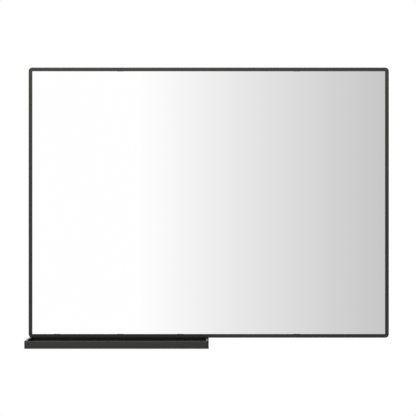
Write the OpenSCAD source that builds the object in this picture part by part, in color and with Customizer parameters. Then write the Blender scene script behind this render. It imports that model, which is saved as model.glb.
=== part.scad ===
// Wall mirror in a thin metal frame, with a tray shelf under the left half of its bottom bar.
// Millimetres. X runs to the right, Z up, and the front faces -Y. The wall is the plane y = 0, and the
// origin lies on it, midway between the slots that hang on the two wall screws.
// An inset is a distance inwards from the mirror's outer edge, and a depth is one behind the frame's face.

/* [Mirror] */
// Overall width of the framed mirror
mirror_w = 800; // [600:10:1200]
// Overall height of the framed mirror
mirror_h = 600; // [400:10:1000]
// Outer radius of the frame's corners
corner_r = 8; // [5:0.5:8]
// Gap between the frame's back and the wall, filled by the hanger plates
wall_gap = 2; // [2:0.2:4]

/* [Frame profile] */
// Width of the frame's face
face_w = 8; // [7:0.5:12]
// Thickness of the lip in front of the glass
lip_t = 1.5; // [1:0.1:3]
// Thickness of the frame's outer wall
wall_t = 1.5; // [1:0.1:2.5]
// Thickness of the web behind the glass groove and of the channel's walls
web_t = 1.2; // [1:0.1:2.5]
// Width of the channel in the back of the profile
channel_w = 11.3; // [9.4:0.1:16]
// Depth of that channel
channel_d = 5.4; // [4.6:0.1:8]
// Width of the slot that opens the channel to the back
slot_w = 6; // [5:0.1:8]

/* [Glass and backing] */
// Thickness of the mirror glass
glass_t = 4; // [3:0.5:6]
// Thickness of the safety film on the glass's back
film_t = 0.3; // [0.1:0.05:0.6]
// Thickness of the foam tape between film and panel
tape_t = 1; // [0.5:0.1:2]
// Width of each strip of foam tape
tape_w = 25; // [15:1:40]
// Thickness of the back panel
panel_t = 3; // [2:0.5:6]

/* [Spring clips] */
// Thickness of the clip's strip, which also sets the gasket's
clip_t = 0.8; // [0.5:0.1:1.2]
// Width of a clip
clip_w = 15; // [8:1:25]
// How far a clip's nose shows past the frame's lip
clip_nose = 0.45; // [0.2:0.05:2]
// Room behind the back panel for the clip's bow
spring_gap = 1.6; // [1.3:0.1:3]
// Distance from the mirror's side to the middle of the nearest clip
clip_side = 204; // [150:1:260]

/* [Corner keys] */
// Thickness of a corner key
key_t = 3; // [2:0.5:3.6]
// Length of a key's arm, from the frame's outer edge
key_arm = 36; // [28:1:42]
// Distance from the frame's outer edge to a key's set screw
key_screw = 24; // [18:0.5:28]

/* [Hangers] */
// Distance between the two hanger slots
hanger_span = 500; // [380:10:560]
// Height of the frame's top above the slots
hanger_drop = 30; // [26:1:60]
// Width of a hanger plate
hanger_w = 56; // [50:1:80]
// Length of a hanger's slot, end to end
hanger_slot_l = 20; // [16:1:26]
// Width of a hanger's slot
hanger_slot_w = 5.5; // [4.5:0.1:7]
// Radius of the hole that lets the wall screw's head in
entry_r = 5.5; // [4.6:0.1:7]

/* [Shelf] */
// Length of the shelf, from the mirror's left edge
shelf_l = 400; // [330:10:600]
// Depth of the shelf, from the frame's back to its front
shelf_d = 98; // [70:1:150]
// Height of the shelf
shelf_h = 17; // [14:0.5:30]
// Thickness of the shelf's front wall
front_w = 6; // [5:0.5:10]
// Thickness of the shelf's back wall, which the fixing screws go up through
back_w = 8; // [8:0.5:12]
// Thickness of the shelf's floor
floor_t = 2.5; // [2:0.1:5]
// Thickness of a shelf end
end_t = 6; // [5:0.5:10]
// Radius of the front wall's top edge
rim_r = 2; // [0.5:0.1:2.4]
// Radius of the shelf's bottom front edge
foot_r = 1.5; // [0.5:0.1:2.4]
// Radius of the shelf's upright front corners
end_r = 4; // [1:0.5:4.5]
// Radius inside the tray, along its floor
pocket_r = 1.5; // [0.5:0.1:2.5]
// Distance from either end of the shelf to the middle of the nearest fixing
fix_side = 63; // [60:1:120]
// Distance between the two screws of one fixing
fix_pitch = 24; // [18:1:30]

/* [Hidden] */
$fn = 64;

// Cuts run this far past the surface they open
over = 1;
// Running and assembly clearances
slide_gap = 0.2;
clip_gap = 0.25;
thread_gap = 0.1;
seat_gap = 0.05;
pin_gap = 0.05;
edge_gap = 0.6;

// Depths of the profile's layers, from the face to the back
glass_d = lip_t + clip_t;
film_d = glass_d + glass_t;
tape_d = film_d + film_t;
panel_d = tape_d + tape_t;
panel_back_d = panel_d + panel_t;
web_d = panel_back_d + spring_gap;
channel_front_d = web_d + web_t;
slot_d = channel_front_d + channel_d;
frame_d = slot_d + web_t;

// Insets across the profile
channel_in = wall_t + channel_w;
frame_in = channel_in + web_t;
slot_mid = wall_t + channel_w / 2;
clip_web_in = wall_t + clip_gap + clip_t / 2;
glass_in = wall_t + clip_t + 2 * clip_gap;

// Places of the mirror's edges
front_y = -(wall_gap + frame_d);
back_y = -wall_gap;
left_x = -mirror_w / 2;
right_x = mirror_w / 2;
top_z = hanger_drop;
mid_z = top_z - mirror_h / 2;
bottom_z = top_z - mirror_h;

// The shelf hangs right under the bottom bar, from the mirror's left edge
shelf_x0 = left_x;
shelf_x1 = left_x + shelf_l;
shelf_front_y = back_y - shelf_d;
shelf_top_z = bottom_z;
shelf_bottom_z = shelf_top_z - shelf_h;
shelf_mid_z = (shelf_top_z + shelf_bottom_z) / 2;
fix_x = [shelf_x0 + fix_side, shelf_x1 - fix_side];
fix_y = front_y + channel_front_d + channel_d / 2;

// Fasteners: shank and head radii, with 90 degree countersunk heads
m4_r = 1.9;
m4_head_r = 3.75;
m4_hole_r = 2.2;
m3_r = 1.4;
m3_head_r = 2.8;
m3_hole_r = 1.6;
end_screw_l = 16;
end_screw_spare = 1;
set_screw_r = 1.9;
socket_r = 1.2;
socket_d = 1.2;
nut_t = 3;
nut_l = 44;
pin_r = 1.5;
pin_l = 16;
pin_in_end = 3.5;

// Hanger plate, which fills the gap to the wall
hanger_t = wall_gap;
hanger_screw_x = 18;
hanger_foot = 14;
hanger_plate_r = 4;
entry_drop = entry_r - 0.5;
hanger_screw_tip = 0.3;

// Push-in bumpers: a round head on a stem
bumper_r = 5.5;
stem_r = 2.7;
stem_l = 4;
wall_bumper_x = mirror_w / 4;
shelf_bumper_in = fix_pitch / 2 + 14;
shelf_bumper_x = [fix_x[0] + shelf_bumper_in, fix_x[1] - shelf_bumper_in];

// Foam tape strips
tape_count = 5;
tape_end = 40;

// ---- Helpers ----

// A flat slice of the mirror between two depths, drawn as seen from the front about the mirror's middle
module layer(d0, d1) {
    translate([0, front_y + d1, mid_z]) rotate([90, 0, 0]) linear_extrude(d1 - d0) children();
}

// An outline in (y, z), carried along X from x0 to x1
module along_x(x0, x1) {
    translate([x0, 0, 0]) rotate([90, 0, 90]) linear_extrude(x1 - x0) children();
}

// A round bar along X, Y or Z
module rod_x(x0, x1, y, z, r) {
    translate([x0, y, z]) rotate([0, 90, 0]) cylinder(h = x1 - x0, r = r);
}
module rod_y(x, y0, y1, z, r) {
    translate([x, y1, z]) rotate([90, 0, 0]) cylinder(h = y1 - y0, r = r);
}
module rod_z(x, y, z0, z1, r) {
    translate([x, y, z0]) cylinder(h = z1 - z0, r = r);
}

module rounded_rect(w, h, r) {
    if (r > 0) {
        square([w - 2 * r, h], center = true);
        square([w, h - 2 * r], center = true);
        for (x = [-1, 1], y = [-1, 1]) {
            translate([x * (w / 2 - r), y * (h / 2 - r)]) circle(r);
        }
    } else {
        square([w, h], center = true);
    }
}

// A slot's outline, with round ends
module slot_shape(l, w) {
    square([l - w, w], center = true);
    for (side = [-1, 1]) translate([side * (l - w) / 2, 0]) circle(w / 2);
}

// The mirror's outline drawn in by an inset, with concentric corners
module outline(inset) {
    rounded_rect(mirror_w - 2 * inset, mirror_h - 2 * inset, max(corner_r - inset, 0));
}

module ring(inset0, inset1) {
    difference() {
        outline(inset0);
        outline(inset1);
    }
}

// The point at a corner of the mirror, sx and sy being -1 or 1, drawn in by an inset on both sides
function corner(sx, sy, inset) = [sx * (mirror_w / 2 - inset), sy * (mirror_h / 2 - inset)];

// A countersunk screw along +Z, its head's face at z = 0
module countersunk_screw(r, head_r, l) {
    difference() {
        union() {
            cylinder(h = head_r - r, r1 = head_r, r2 = r);
            cylinder(h = l, r = r);
        }
        translate([0, 0, -over]) cylinder(h = socket_d + over, r = socket_r, $fn = 6);
    }
}

// Its hole along +Z, opened for the head at z = 0
module countersunk_hole(r, head_r, l) {
    translate([0, 0, -over]) cylinder(h = l + 2 * over, r = r);
    cylinder(h = head_r + seat_gap - r, r1 = head_r + seat_gap, r2 = r);
    translate([0, 0, -over]) cylinder(h = over, r = head_r + seat_gap);
}

// What lies outside a rounded corner whose sharp point is the origin, the solid being towards (sx, sy)
module corner_cut(r, sx, sy) {
    difference() {
        translate([sx > 0 ? -over : -r, sy > 0 ? -over : -r]) square(r + over);
        translate([sx * r, sy * r]) circle(r);
    }
}

// ---- Frame ----

// The quadrant of one bar, cut at 45 degrees at both ends; a and b are the corners it runs between
module mitre(a, b) {
    reach = frame_in + over;
    polygon([corner(a.x, a.y, 0), corner(b.x, b.y, 0), corner(b.x, b.y, reach), corner(a.x, a.y, reach)]);
}

module bar_layer(a, b, inset0, inset1, d0, d1) {
    layer(d0, d1) intersection() {
        ring(inset0, inset1);
        mitre(a, b);
    }
}

// One bar: outer wall, front lip, web behind the glass groove, and the slotted channel at the back
module bar(a, b) {
    bar_layer(a, b, 0, face_w, 0, lip_t);
    bar_layer(a, b, 0, wall_t, lip_t, web_d);
    bar_layer(a, b, 0, frame_in, web_d, channel_front_d);
    bar_layer(a, b, 0, wall_t, channel_front_d, slot_d);
    bar_layer(a, b, channel_in, frame_in, channel_front_d, slot_d);
    bar_layer(a, b, 0, slot_mid - slot_w / 2, slot_d, frame_d);
    bar_layer(a, b, slot_mid + slot_w / 2, frame_in, slot_d, frame_d);
}

module frame_top() {
    color("#3a3936") bar([-1, 1], [1, 1]);
}
module frame_bottom() {
    color("#3a3936") difference() {
        bar([-1, -1], [1, -1]);
        for (x = fix_x, side = [-1, 1]) {
            rod_z(x + side * fix_pitch / 2, fix_y, bottom_z - over, bottom_z + wall_t + over, m3_hole_r);
        }
    }
}
module frame_left() {
    color("#3a3936") bar([-1, -1], [-1, 1]);
}
module frame_right() {
    color("#3a3936") bar([1, -1], [1, 1]);
}

// ---- Corner keys ----

key_back_d = slot_d;
key_front_d = slot_d - key_t;
function key_screw_places(sx, sy) = [
    [sx * (mirror_w / 2 - key_screw), sy * (mirror_h / 2 - slot_mid)],
    [sx * (mirror_w / 2 - slot_mid), sy * (mirror_h / 2 - key_screw)]
];

module corner_key(sx, sy) {
    color("#9a9c9e") layer(key_front_d, key_back_d) difference() {
        intersection() {
            ring(wall_t + slide_gap, channel_in - slide_gap);
            translate(corner(sx, sy, key_arm / 2)) square(key_arm, center = true);
        }
        for (p = key_screw_places(sx, sy)) translate(p) circle(set_screw_r + thread_gap);
    }
}

// Set screws bear on the web and push the keys against the channel's lips
module corner_key_screws() {
    color("#6b6e72") for (sx = [-1, 1], sy = [-1, 1], p = key_screw_places(sx, sy)) {
        translate([p.x, front_y + channel_front_d, mid_z + p.y]) rotate([-90, 0, 0]) difference() {
            cylinder(h = channel_d, r = set_screw_r);
            translate([0, 0, channel_d - socket_d]) cylinder(h = socket_d + over, r = socket_r, $fn = 6);
        }
    }
}

// ---- Glass and backing ----

module gasket_strip(x0, x1, z0, z1) {
    color("#161616") translate([x0, front_y + lip_t, z0]) cube([x1 - x0, clip_t, z1 - z0]);
}

// A strip behind the top or bottom lip, at one height, left out where a clip's nose passes
module gasket_row(z0, clips) {
    ends = [left_x + max(corner_r, face_w), right_x - max(corner_r, face_w)];
    gap = clip_w / 2 + edge_gap;
    starts = concat([ends[0]], [for (x = clips) x + gap]);
    stops = concat([for (x = clips) x - gap], [ends[1]]);
    for (i = [0 : len(clips)]) gasket_strip(starts[i], stops[i], z0, z0 + gasket_w);
}
gasket_w = face_w - edge_gap - glass_in;

module gasket_column(x0) {
    inset = max(corner_r, face_w);
    gasket_strip(x0, x0 + gasket_w, bottom_z + inset, top_z - inset);
}

clip_left_x = left_x + clip_side;
clip_right_x = right_x - clip_side;
module gasket_top() {
    gasket_row(top_z - glass_in - gasket_w, [clip_left_x, clip_right_x]);
}
module gasket_bottom() {
    gasket_row(bottom_z + glass_in, [fix_x[0], clip_left_x, fix_x[1], clip_right_x]);
}
module gasket_left() {
    gasket_column(left_x + glass_in);
}
module gasket_right() {
    gasket_column(right_x - glass_in - gasket_w);
}

module mirror_glass() {
    color("#dfe3e3") layer(glass_d, film_d) outline(glass_in);
}
module safety_film() {
    color("#8c9297") layer(film_d, tape_d) outline(glass_in);
}
module panel_tapes() {
    pitch = (mirror_w - 2 * tape_end) / (tape_count - 1);
    tape_l = mirror_h - 2 * tape_end;
    color("#f0efe8") layer(tape_d, panel_d) for (i = [0 : tape_count - 1]) {
        translate([left_x + tape_end + i * pitch, 0]) square([tape_w, tape_l], center = true);
    }
}
module back_panel() {
    color("#6f5a44") layer(panel_d, panel_back_d) outline(glass_in);
}

// ---- Spring clips ----
// A bent strip: a nose between lip and glass, a web round the edges of glass, film and panel, and a leg
// behind the panel whose bow bears on the frame's web. Its line is drawn in (inset, depth).

clip_bend_r = clip_t / 2 + 0.8 * clip_gap;
clip_nose_d = lip_t + clip_t / 2;
clip_leg_d = panel_back_d + clip_t / 2;
clip_bow_h = spring_gap - clip_t;
clip_leg_in = frame_in - web_t;
clip_bow_in = [clip_web_in + 2 * clip_bend_r, clip_leg_in - clip_bend_r];
bend_steps = 6;
bow_steps = 12;

function arc(c, r, a0, a1) = [for (i = [0 : bend_steps]) let (a = a0 + (a1 - a0) * i / bend_steps)
    c + r * [cos(a), sin(a)]];
clip_line = concat(
    [[face_w + clip_nose, clip_nose_d]],
    arc([clip_web_in + clip_bend_r, clip_nose_d + clip_bend_r], clip_bend_r, 270, 180),
    arc([clip_web_in + clip_bend_r, clip_leg_d - clip_bend_r], clip_bend_r, 180, 90),
    [for (i = [0 : bow_steps]) let (t = i / bow_steps)
        [clip_bow_in[0] + t * (clip_bow_in[1] - clip_bow_in[0]),
         clip_leg_d + clip_bow_h * (1 - cos(360 * t)) / 2]],
    [[clip_leg_in, clip_leg_d]]
);

// A line moved sideways by s, keeping each stretch exactly s away
function normal(p, q) = let (v = (q - p) / norm(q - p)) [-v.y, v.x];
function beside(line, s) = let (last = len(line) - 1) [for (i = [0 : last])
    let (a = normal(line[max(i - 1, 0)], line[max(i, 1)]),
         b = normal(line[min(i, last - 1)], line[min(i + 1, last)]))
    line[i] + s * (a + b) / (1 + a * b)];
function backwards(line) = [for (i = [len(line) - 1 : -1 : 0]) line[i]];
clip_outline = concat(beside(clip_line, clip_t / 2), backwards(beside(clip_line, -clip_t / 2)));

// up is 1 on the bottom bar and -1 on the top bar
module glass_clip(x, edge_z, up) {
    color("#141414") along_x(x - clip_w / 2, x + clip_w / 2) {
        polygon([for (p = clip_outline) [front_y + p.y, edge_z + up * p.x]]);
    }
}

// ---- Hangers ----

module hanger_plate(x) {
    plate_top = hanger_drop - wall_t;
    plate_h = plate_top + hanger_foot;
    color("#8f9398") difference() {
        translate([x, 0, 0]) rotate([90, 0, 0]) linear_extrude(hanger_t) difference() {
            translate([0, plate_top - plate_h / 2]) rounded_rect(hanger_w, plate_h, hanger_plate_r);
            slot_shape(hanger_slot_l, hanger_slot_w);
            translate([0, -entry_drop]) circle(entry_r);
        }
        for (side = [-1, 1]) {
            translate([x + side * hanger_screw_x, 0, top_z - slot_mid]) rotate([90, 0, 0]) {
                countersunk_hole(m4_hole_r, m4_head_r, hanger_t);
            }
        }
    }
}

// A nut plate that slides in the frame's channel, under the hanger plate
module hanger_nut(x) {
    color("#9a9c9e") difference() {
        translate([x - nut_l / 2, front_y + slot_d - nut_t, top_z - channel_in + slide_gap]) {
            cube([nut_l, nut_t, channel_w - 2 * slide_gap]);
        }
        for (side = [-1, 1]) {
            rod_y(x + side * hanger_screw_x, front_y + slot_d - nut_t - over, front_y + slot_d + over,
                  top_z - slot_mid, m4_r + thread_gap);
        }
    }
}

module hanger_screws() {
    screw_l = hanger_t + web_t + nut_t + hanger_screw_tip;
    color("#b9bcc0") for (x = [-hanger_span / 2, hanger_span / 2], side = [-1, 1]) {
        translate([x + side * hanger_screw_x, 0, top_z - slot_mid]) rotate([90, 0, 0]) {
            countersunk_screw(m4_r, m4_head_r, screw_l);
        }
    }
}

// ---- Bumpers ----

// A rubber button against the wall, its stem towards -Y
module bumper(x, z) {
    color("#202020") {
        rod_y(x, back_y, 0, z, bumper_r);
        rod_y(x, back_y - stem_l, back_y / 2, z, stem_r);
    }
}

// ---- Shelf ----

// The shelf's side view, with its front edges rounded
module shelf_outline() {
    difference() {
        translate([shelf_front_y, shelf_bottom_z]) square([shelf_d, shelf_h]);
        translate([shelf_front_y, shelf_top_z]) corner_cut(rim_r, 1, -1);
        translate([shelf_front_y, shelf_bottom_z]) corner_cut(foot_r, 1, 1);
    }
}

pocket_y0 = shelf_front_y + front_w;
pocket_y1 = back_y - back_w;
floor_z = shelf_bottom_z + floor_t;
module pocket_outline() {
    difference() {
        translate([pocket_y0, floor_z]) square([pocket_y1 - pocket_y0, shelf_h]);
        translate([pocket_y0, floor_z]) corner_cut(pocket_r, 1, 1);
        translate([pocket_y1, floor_z]) corner_cut(pocket_r, -1, 1);
    }
}

end_pin_y = shelf_front_y + front_w / 2;
end_screw_y = back_y - back_w / 2;
pin_in_tray = pin_l - pin_in_end;
end_bore_l = end_screw_l - end_t + end_screw_spare;

module shelf_tray() {
    x0 = shelf_x0 + end_t;
    x1 = shelf_x1 - end_t;
    color("#34373a") difference() {
        along_x(x0, x1) difference() {
            shelf_outline();
            pocket_outline();
        }
        for (x = fix_x, side = [-1, 1]) {
            translate([x + side * fix_pitch / 2, fix_y, shelf_bottom_z]) {
                countersunk_hole(m3_hole_r, m3_head_r, shelf_h);
            }
        }
        for (x = shelf_bumper_x) {
            rod_y(x, back_y - stem_l - slide_gap, back_y + over, shelf_mid_z, stem_r + slide_gap);
        }
        for (x = [[x0 - over, x0 + pin_in_tray + slide_gap], [x1 - pin_in_tray - slide_gap, x1 + over]]) {
            rod_x(x[0], x[1], end_pin_y, shelf_mid_z, pin_r + pin_gap);
        }
        for (x = [[x0 - over, x0 + end_bore_l], [x1 - end_bore_l, x1 + over]]) {
            rod_x(x[0], x[1], end_screw_y, shelf_mid_z, m3_r + thread_gap);
        }
    }
}

// side is -1 for the left end and 1 for the right one
module shelf_end(side) {
    outer_x = side < 0 ? shelf_x0 : shelf_x1;
    x0 = min(outer_x, outer_x - side * end_t);
    pin_x = outer_x - side * (end_t - pin_in_end - slide_gap);
    color("#2c2e30") difference() {
        intersection() {
            along_x(x0, x0 + end_t) shelf_outline();
            translate([0, 0, shelf_bottom_z - over]) linear_extrude(shelf_h + 2 * over) difference() {
                translate([x0, shelf_front_y]) square([end_t, shelf_d]);
                translate([outer_x, shelf_front_y]) corner_cut(end_r, -side, 1);
            }
        }
        translate([pin_x, end_pin_y, shelf_mid_z]) rotate([0, -90 * side, 0]) {
            cylinder(h = end_t, r = pin_r + pin_gap);
        }
        translate([outer_x, end_screw_y, shelf_mid_z]) rotate([0, -90 * side, 0]) {
            countersunk_hole(m3_hole_r, m3_head_r, end_t);
        }
    }
}

module shelf_end_pins() {
    color("#a8abad") {
        rod_x(shelf_x0 + end_t - pin_in_end, shelf_x0 + end_t + pin_in_tray, end_pin_y, shelf_mid_z, pin_r);
        rod_x(shelf_x1 - end_t - pin_in_tray, shelf_x1 - end_t + pin_in_end, end_pin_y, shelf_mid_z, pin_r);
    }
}

module shelf_end_screws() {
    color("#1d1d1d") for (side = [-1, 1]) {
        translate([side < 0 ? shelf_x0 : shelf_x1, end_screw_y, shelf_mid_z]) rotate([0, -90 * side, 0]) {
            countersunk_screw(m3_r, m3_head_r, end_screw_l);
        }
    }
}

// A nut plate on the floor of the bottom bar's channel, over one of the shelf's fixings
shelf_nut_l = fix_pitch + 12;
module shelf_nut(x) {
    color("#9a9c9e") difference() {
        translate([x - shelf_nut_l / 2, front_y + channel_front_d + slide_gap, bottom_z + wall_t]) {
            cube([shelf_nut_l, channel_d - 2 * slide_gap, nut_t]);
        }
        for (side = [-1, 1]) {
            rod_z(x + side * fix_pitch / 2, fix_y, bottom_z, bottom_z + wall_t + nut_t + over,
                  m3_r + thread_gap);
        }
    }
}

module shelf_screws() {
    color("#b9bcc0") for (x = fix_x, side = [-1, 1]) {
        translate([x + side * fix_pitch / 2, fix_y, shelf_bottom_z]) {
            countersunk_screw(m3_r, m3_head_r, shelf_h + wall_t + nut_t);
        }
    }
}

// ---- Assembly ----

frame_top();
frame_bottom();
frame_left();
frame_right();
corner_key(-1, 1);  // corner_key_top_left
corner_key(1, 1);  // corner_key_top_right
corner_key(-1, -1);  // corner_key_bottom_left
corner_key(1, -1);  // corner_key_bottom_right
corner_key_screws();
gasket_top();
gasket_bottom();
gasket_left();
gasket_right();
mirror_glass();
safety_film();
panel_tapes();
back_panel();
glass_clip(clip_left_x, top_z, -1);  // glass_clip_top_left
glass_clip(clip_right_x, top_z, -1);  // glass_clip_top_right
glass_clip(clip_left_x, bottom_z, 1);  // glass_clip_bottom_left
glass_clip(clip_right_x, bottom_z, 1);  // glass_clip_bottom_right
glass_clip(fix_x[0], bottom_z, 1);  // glass_clip_shelf_left
glass_clip(fix_x[1], bottom_z, 1);  // glass_clip_shelf_right
hanger_plate(-hanger_span / 2);  // hanger_plate_left
hanger_plate(hanger_span / 2);  // hanger_plate_right
hanger_nut(-hanger_span / 2);  // hanger_nut_left
hanger_nut(hanger_span / 2);  // hanger_nut_right
hanger_screws();
bumper(-wall_bumper_x, bottom_z + slot_mid);  // wall_bumper_left
bumper(wall_bumper_x, bottom_z + slot_mid);  // wall_bumper_right
shelf_tray();
shelf_end(-1);  // shelf_end_left
shelf_end(1);  // shelf_end_right
shelf_end_pins();
shelf_end_screws();
shelf_nut(fix_x[0]);  // shelf_nut_left
shelf_nut(fix_x[1]);  // shelf_nut_right
shelf_screws();
bumper(shelf_bumper_x[0], shelf_mid_z);  // shelf_bumper_left
bumper(shelf_bumper_x[1], shelf_mid_z);  // shelf_bumper_right
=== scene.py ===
"""Framed wall mirror with a tray shelf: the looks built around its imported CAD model."""

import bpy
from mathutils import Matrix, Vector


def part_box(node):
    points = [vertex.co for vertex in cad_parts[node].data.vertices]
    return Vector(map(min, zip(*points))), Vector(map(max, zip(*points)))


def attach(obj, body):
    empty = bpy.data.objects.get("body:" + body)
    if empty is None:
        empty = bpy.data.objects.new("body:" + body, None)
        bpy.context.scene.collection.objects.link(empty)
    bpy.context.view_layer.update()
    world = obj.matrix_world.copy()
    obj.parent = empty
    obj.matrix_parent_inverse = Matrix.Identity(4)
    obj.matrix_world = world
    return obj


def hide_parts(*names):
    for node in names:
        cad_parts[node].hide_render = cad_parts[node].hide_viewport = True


bl_info = {
    "name": "Framed mirror with tray shelf",
    "version": (1, 0, 0),
    "blender": (4, 5, 0),
    "location": "3D View > Sidebar > Mirror",
    "description": "Builds the bars, glass, tray, fixings and finishes of a framed mirror",
    "category": "Add Mesh",
}

import bmesh
import bpy
import numpy as np
from bpy.props import FloatProperty, FloatVectorProperty, PointerProperty
from bpy.types import Operator, Panel, PropertyGroup
from mathutils import Vector

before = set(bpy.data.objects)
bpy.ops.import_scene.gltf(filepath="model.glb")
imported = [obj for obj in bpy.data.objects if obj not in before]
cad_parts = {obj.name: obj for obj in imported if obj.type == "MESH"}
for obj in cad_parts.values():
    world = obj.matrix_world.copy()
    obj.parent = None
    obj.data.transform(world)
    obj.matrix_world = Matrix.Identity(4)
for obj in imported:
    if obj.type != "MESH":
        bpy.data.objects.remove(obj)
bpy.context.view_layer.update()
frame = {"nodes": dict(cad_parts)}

MM = 0.001
BODY = "root"

# A screw hole in the shelf: half its flat square, the cells along that square's side, and its depth.
HOLE_SIDE = 3.35 * MM
HOLE_CELLS = 8
HOLE_DEPTH = 2.4 * MM

# Small lengths that pieces share: the hairline where two of them meet, and the strip beside a rounding.
SEAM = 0.12 * MM
BESIDE = 0.35 * MM

# The soft lamps in front of the mirror and behind it.
LAMP_SIZE = (2.4, 0.7)
KEY_PLACE = (-0.4, -2.6, 1.05)
FILL_PLACE = (0.4, 2.6, 1.05)

# How far out the floor starts to fade, where it has gone, and where its disc ends.
FLOOR_CLEAR, FLOOR_GONE, FLOOR_RIM = 1.9, 3.2, 3.3

# ---- Places taken from the CAD frame ----


def corners(node):
    """The low and high corner of a CAD node, as arrays."""
    low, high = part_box(node)
    return np.array(low), np.array(high)


TOP_LOW, TOP_HIGH = corners("frame_top")
LEFT_LOW, _ = corners("frame_left")
_, RIGHT_HIGH = corners("frame_right")
BOTTOM_LOW, _ = corners("frame_bottom")
GLASS_LOW, GLASS_HIGH = corners("mirror_glass")
TRAY_LOW, TRAY_HIGH = corners("shelf_tray")
X_LEFT, X_RIGHT = LEFT_LOW[0], RIGHT_HIGH[0]
Z_BOTTOM, Z_TOP = BOTTOM_LOW[2], TOP_HIGH[2]
Y_FRONT, Y_BACK = TOP_LOW[1], TOP_HIGH[1]
Z_MIDDLE = (Z_TOP + Z_BOTTOM) / 2

# ---- Surfaces ----


def rounded_outline(section, steps=6):
    """A closed outline in a plane with its corners rounded, and how exposed each of its points is.

    A row of section is a corner's two coordinates and its radius. With a and b the directions from a
    corner to its neighbours and h half the angle between them, the arc's centre lies radius / sin(h) from
    the corner along a + b. The arc runs in equal angles from the corner moved radius / tan(h) along a, to
    the same along b. A point on each side follows it, so that the flat beside it stays flat when shaded.
    Exposure is 1 on an outer corner and 0 elsewhere.
    """
    rows = np.asarray(section, float)
    p, r = rows[:, :2], rows[:, 2:]
    a, b = np.roll(p, 1, 0) - p, np.roll(p, -1, 0) - p
    side = np.linalg.norm(b, axis=1, keepdims=True)
    a, b = a / np.linalg.norm(a, axis=1, keepdims=True), b / side
    half = np.arccos(np.clip((a * b).sum(1, keepdims=True), -1, 1)) / 2
    reach = r / np.tan(half)
    middle = (a + b) / np.linalg.norm(a + b, axis=1, keepdims=True)
    centre = p + middle * r / np.sin(half)
    start, stop = p + a * reach, p + b * reach
    free = side - reach - np.roll(reach, -1, 0)
    beside = np.minimum(BESIDE, 0.3 * free)
    s = np.linspace(0, 1, steps + 1)[None, :, None]
    turn = (np.pi - 2 * half)[:, :, None]
    swing = np.sin((1 - s) * turn) * (start - centre)[:, None] + np.sin(s * turn) * (stop - centre)[:, None]
    arc = centre[:, None] + swing / np.sin(turn)
    before = (start + a * np.roll(beside, 1, 0))[:, None]
    after = (stop + b * beside)[:, None]
    ring = np.concatenate([before, arc, after], 1)
    area = (p[:, 0] * np.roll(p[:, 1], -1) - np.roll(p[:, 0], -1) * p[:, 1]).sum()
    outer = (a[:, 0] * b[:, 1] - a[:, 1] * b[:, 0]) * area < 0
    exposed = np.zeros(ring.shape[:2])
    exposed[:, 1:-1] = outer[:, None]
    return ring.reshape(-1, 2), exposed.reshape(-1)


def drawn_in(outline, by):
    """A closed outline moved inwards: each point goes back along the normal of the chord over it."""
    chord = np.roll(outline, -1, 0) - np.roll(outline, 1, 0)
    normal = np.stack([chord[:, 1], -chord[:, 0]], 1)
    normal /= np.linalg.norm(normal, axis=1, keepdims=True)
    x, y = outline.T
    turns = np.sign((x * np.roll(y, -1) - np.roll(x, -1) * y).sum())
    return outline - normal * by * turns


class Shell:
    """A closed surface put together from grids of points and flat caps."""

    def __init__(self):
        self.points, self.faces, self.exposed, self.count = [], [], [], 0

    def add(self, grid, exposed=0.0, keep=None, caps=()):
        """Adds a grid (rows, columns, 3) as quads, with its last column joined to its first. keep is a mask
        of quads, and caps are the rows that a flat face closes."""
        rows, columns = grid.shape[:2]
        here = np.arange(rows * columns).reshape(rows, columns) + self.count
        beyond = np.roll(here, -1, 1)
        quads = np.stack([here[:-1], beyond[:-1], beyond[1:], here[1:]], -1)
        quads = quads[keep] if keep is not None else quads.reshape(-1, 4)
        self.faces += quads.tolist() + [here[row].tolist() for row in caps]
        self.points.append(grid.reshape(-1, 3))
        self.exposed.append(np.broadcast_to(exposed, (rows, columns)).reshape(-1))
        self.count += rows * columns

    def build(self, name, sharp=32):
        """The mesh object: doubles merged, faces outwards, smooth but for edges over sharp degrees."""
        mesh = bpy.data.meshes.new(name)
        mesh.from_pydata(np.concatenate(self.points), [], self.faces)
        # The outer edges that the powder coat paints paler: partly wear, partly a painted sheen.
        wear_and_sheen = mesh.attributes.new("exposed", "FLOAT", "POINT")
        wear_and_sheen.data.foreach_set("value", np.concatenate(self.exposed).astype("f"))
        work = bmesh.new()
        work.from_mesh(mesh)
        bmesh.ops.remove_doubles(work, verts=work.verts, dist=2e-6)
        bmesh.ops.dissolve_degenerate(work, edges=work.edges, dist=1e-6)
        bmesh.ops.recalc_face_normals(work, faces=work.faces)
        loose = [edge for edge in work.edges if len(edge.link_faces) != 2]
        work.to_mesh(mesh)
        work.free()
        if loose:
            raise RuntimeError(f"{name} isn't closed: {len(loose)} edges don't join two faces")
        mesh.shade_smooth()
        mesh.set_sharp_from_angle(angle=np.radians(sharp))
        made = bpy.data.objects.new(name, mesh)
        bpy.context.scene.collection.objects.link(made)
        return made


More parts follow.
